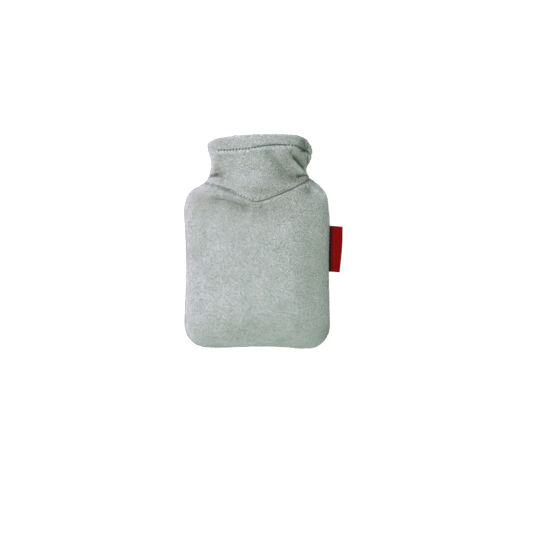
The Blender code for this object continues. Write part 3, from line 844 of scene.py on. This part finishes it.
def velour_finish():
    """Polyester velour: a knit whose cut pile stands up about 1.5 mm. The pile tips catch light at grazing
    angles (sheen), and gathered tufts give a fine speckle, stronger where the nap is ruffled, towards the
    right and the collar. The colour is the speckle, times slow patches of tone with painted shade in
    creases and beside seams that turns grey green, times painted shade and painted highlights that take
    most from the blue, with the tufts' own random tone."""
    material, tree, shader = finish(
        "sage_velour",
        Roughness=0.95,
        Sheen_Weight=0.3,
        Sheen_Roughness=0.35,
        Sheen_Tint=linear("#D8D9DC"),
        Specular_IOR_Level=0.15,
    )
    place = add(tree, "TexCoord").outputs["Object"]
    grain = {"Vector": place, "Detail": 2.0, "Roughness": 0.5}
    mixed = {"data_type": "RGBA"}
    times = {"data_type": "RGBA", "blend_type": "MULTIPLY"}

    # the flecks, of a narrower range of tone where the nap lies smooth
    noise = add(tree, "TexNoise", {**grain, "Scale": 1 / (FLECK * MM)}).outputs["Fac"]
    fleck = add(tree, "MapRange", {"Value": noise, "From Min": 0.36, "From Max": 0.64}).outputs["Result"]
    upper_right = {0: place, 1: (0.9, 0.5, 0.0)}
    towards = add(tree, "VectorMath", upper_right, operation="DOT_PRODUCT").outputs["Value"]
    ramp = {"Value": towards, "From Min": -0.005, "From Max": 0.05}
    ruffled = add(tree, "MapRange", ramp).outputs["Result"]
    smooth_nap = {"Factor": fleck, "A": linear("#A5ACA9"), "B": linear("#C0C5C4")}
    ruffled_nap = {"Factor": fleck, "A": linear("#979C9A"), "B": linear("#CBD1CF")}
    low = add(tree, "Mix", smooth_nap, **mixed).outputs["Result"]
    high = add(tree, "Mix", ruffled_nap, **mixed).outputs["Result"]
    nap = add(tree, "Mix", {"Factor": ruffled, "A": low, "B": high}, **mixed).outputs["Result"]

    # the slow patches of tone, and painted shade in creases, beside seams and in stitch holes, which turns
    # them
    #     grey green
    noise = add(tree, "TexNoise", {**grain, "Scale": 1 / (PATCH * MM)}).outputs["Fac"]
    patch = add(tree, "MapRange", {"Value": noise, "From Min": 0.32, "From Max": 0.68}).outputs["Result"]
    slow = {"Factor": patch, "A": linear("#F4F8F3"), "B": linear("#FFFEFF")}
    tone = add(tree, "Mix", slow, **mixed).outputs["Result"]
    crease = add(tree, "Attribute", attribute_name="crease").outputs["Fac"]
    crease_shading = {"Factor": crease, "A": tone, "B": linear("#667A6C")}
    closed = add(tree, "Mix", crease_shading, **mixed).outputs["Result"]

    # painted shade (above 0) and painted highlight (below 0) from the patches and folds, which keeps least
    # of
    #     the blue; on the tufts it also carries their own random tone
    shading_factor = add(tree, "Attribute", attribute_name="painted_shading_and_tone").outputs["Fac"]
    shade_per_channel = {0: shading_factor, 1: (-1.0, -0.93, -1.12), 2: (1.0, 1.0, 1.0)}
    kept = add(tree, "VectorMath", shade_per_channel, operation="MULTIPLY_ADD").outputs["Vector"]
    shaded_tone = add(tree, "Mix", {"Factor": 1.0, "A": closed, "B": kept}, **times).outputs["Result"]
    colour = add(tree, "Mix", {"Factor": 1.0, "A": nap, "B": shaded_tone}, **times).outputs["Result"]
    tree.links.new(colour, shader.inputs["Base Color"])

    tufts = add(tree, "TexNoise", {**grain, "Scale": 1 / (BUMP_TUFT * MM)}).outputs["Fac"]
    raised = {"Height": tufts, "Strength": 0.45, "Distance": BUMP_HEIGHT * MM}
    tree.links.new(add(tree, "Bump", raised).outputs["Normal"], shader.inputs["Normal"])
    return material


def knit_finish():
    """The velour's knitted polyester back, which shows inside the mouth: matt and plain, with fine ribs."""
    material, tree, shader = finish("velour_back_knit", Roughness=0.9, Specular_IOR_Level=0.2)
    place = add(tree, "TexCoord").outputs["Object"]
    waved = {"Vector": place, "Scale": WAVE_LENGTH / (KNIT_RIB * MM), "Distortion": 0.8}
    ribs = add(tree, "TexWave", waved, bands_direction="X").outputs["Fac"]
    ribbed = {"Factor": ribs, "A": linear("#949D97"), "B": linear("#A0A8A3")}
    colour = add(tree, "Mix", ribbed, data_type="RGBA").outputs["Result"]
    tree.links.new(colour, shader.inputs["Base Color"])
    return material


def thread_finish():
    """Polyester sewing thread, dyed to the cloth: smoother than the pile, so each stitch
    has a soft light."""
    return finish("grey_sewing_thread", Roughness=0.6, Base_Color=linear("#C4CCC7"))[0]


def tape_finish():
    """Woven satin tape, dyed deep red: a tight weave with a faint sheen, in shade beside the cloth."""
    material, tree, shader = finish("red_woven_tape", Roughness=0.6, Specular_IOR_Level=0.05)
    place = add(tree, "TexCoord").outputs["Object"]
    waved = {"Vector": place, "Scale": WAVE_LENGTH / (TAPE_RIB * MM), "Distortion": 0.3}
    ribs = add(tree, "TexWave", waved, bands_direction="Y").outputs["Fac"]
    ribbed = {"Factor": ribs, "A": linear("#840405"), "B": linear("#9A0709")}
    woven = add(tree, "Mix", ribbed, data_type="RGBA").outputs["Result"]
    # painted shadow: the red turns nearly black where the tape leaves the seam
    crease = add(tree, "Attribute", attribute_name="crease").outputs["Fac"]
    shaded = {"Factor": crease, "A": woven, "B": linear("#1A0405")}
    colour = add(tree, "Mix", shaded, data_type="RGBA").outputs["Result"]
    tree.links.new(colour, shader.inputs["Base Color"])
    return material


# ---------------------------------------------------------------- the pieces

# How each grid is divided: guide rows that its strips lie between, in millimetres from a line of the part.
BODY_GUIDE = 100.0  # a level row across the body
BODY_SEAM_GUIDES = (6.0, 1.5)  # below the seam
COLLAR_SEAM_GUIDE = 5.0  # above the seam
HEM_GUIDES = (-3.0, -1.2, 1.2, 3.0)  # beside the hem's stitches
GROOVE_STRIP = 4  # the strip of the collar whose middle row the hem's stitches follow

BODY_SEED = 5  # where the random numbers of each pile start
COLLAR_SEED = 8


def make_cover():
    """Makes every piece, gives it its finish, and says what it rides on and stands for."""
    velour = velour_finish()
    knit = knit_finish()
    front_rows = (6, 8, 64, 6, 14, 6, 12, 8)
    back_rows = (6, 6, 36, 6, 12, 6, 8, 6)
    panels = {
        "body_front": body_panel("front_panel", 240, 56, (70, 40, 12, 8), YOKE_SEAM, 1),
        "body_back": body_panel("back_panel", 140, 48, (50, 24, 6, 6), NECK_SEAM, -1),
        "collar_front": collar_panel("front_collar", 280, front_rows, YOKE_SEAM, HEM_LINE, RIM, 1),
        "collar_back": collar_panel("back_collar", 160, back_rows, NECK_SEAM, BACK_HEM_LINE, BACK_RIM, -1),
    }
    thread = thread_finish()
    for node, (piece, nap, *stitches) in panels.items():
        piece.data.materials.append(velour)
        piece.data.materials.append(knit)
        nap.data.materials.append(velour)
        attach(piece, "root")
        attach(nap, "root")
        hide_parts(node)
        for row in stitches:
            row.data.materials.append(thread)
            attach(row, "root")

    tab = woven_tab()
    tape = tape_finish()
    tab.data.materials.append(tape)
    tab.data.materials.append(tape)  # for the tape's inner face
    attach(tab, "root")
    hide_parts("woven_tab")


# ---------------------------------------------------------------- floor, light and camera

FLOOR_HALF = 3000.0  # half of the floor's side
FLOOR_DROP = 0.05  # how far it lies below the cover

# Lights in metres and watts. The side light is faintly pink and the others are faintly green, which
# together give the cloth its sage grey.
Light = namedtuple("Light", "name place size power colour")
LIGHTS = (
    Light("side", (-1.36, 0.75, 0.69), 0.7, 34.9, "#FBE4FB"),
    Light("top", (0.0, 0.1, 1.9), 1.1, 22.7, "#F8FFF9"),
    Light("fill", (0.3, -1.3, 1.0), 1.0, 10.4, "#F1FFF2"),
)
SURROUNDINGS = "#CFFFDA"
SURROUNDINGS_STRENGTH = 0.03

CAMERA_PLACE = (0.0073, 0.0, 0.984)  # straight above, in metres
LENS = 85.0
SENSOR = 36.0


def floor():
    """A plain pale floor, one large face, lit through from below like a light table,
    so that shadows fade."""
    flat = np.array([(-1.0, -1.0, 0.0), (1.0, -1.0, 0.0), (1.0, 1.0, 0.0), (-1.0, 1.0, 0.0)])
    plane = made("floor", flat * FLOOR_HALF - [0, 0, FLOOR_DROP], [[0, 1, 2, 3]])
    pale = finish(
        "pale_floor",
        Roughness=0.9,
        Specular_IOR_Level=0.0,
        Base_Color=linear("#C0C0C0"),
        Emission_Color=linear("#FFFFFF"),
        Emission_Strength=0.75,
    )[0]
    plane.data.materials.append(pale)


def soft_light(name, place, size, power, colour):
    """A square soft light that points at the middle of the cover."""
    light = bpy.data.lights.new(name, "AREA")
    light.shape = "SQUARE"
    light.size = size
    light.energy = power
    light.color = linear(colour)[:3]
    lamp = bpy.data.objects.new(name, light)
    lamp.location = place
    lamp.rotation_euler = (-Vector(place)).to_track_quat("-Z", "Y").to_euler()
    bpy.context.scene.collection.objects.link(lamp)


def light_and_camera():
    """A soft low light from the upper left, soft lights from above and from the bottom's side, surroundings
    that are nearly dark, so that the creases keep their shade, and a camera straight above."""
    scene = bpy.context.scene
    scene.view_settings.view_transform = "Standard"
    world = bpy.data.worlds.new("studio")
    world.use_nodes = True
    background = world.node_tree.nodes["Background"]
    background.inputs["Color"].default_value = linear(SURROUNDINGS)
    background.inputs["Strength"].default_value = SURROUNDINGS_STRENGTH
    scene.world = world
    for light in LIGHTS:
        soft_light(*light)

    lens = bpy.data.cameras.new("camera")
    lens.lens = LENS
    lens.sensor_width = SENSOR
    camera = bpy.data.objects.new("camera", lens)
    camera.location = CAMERA_PLACE
    scene.collection.objects.link(camera)
    scene.camera = camera


make_cover()
floor()
light_and_camera()
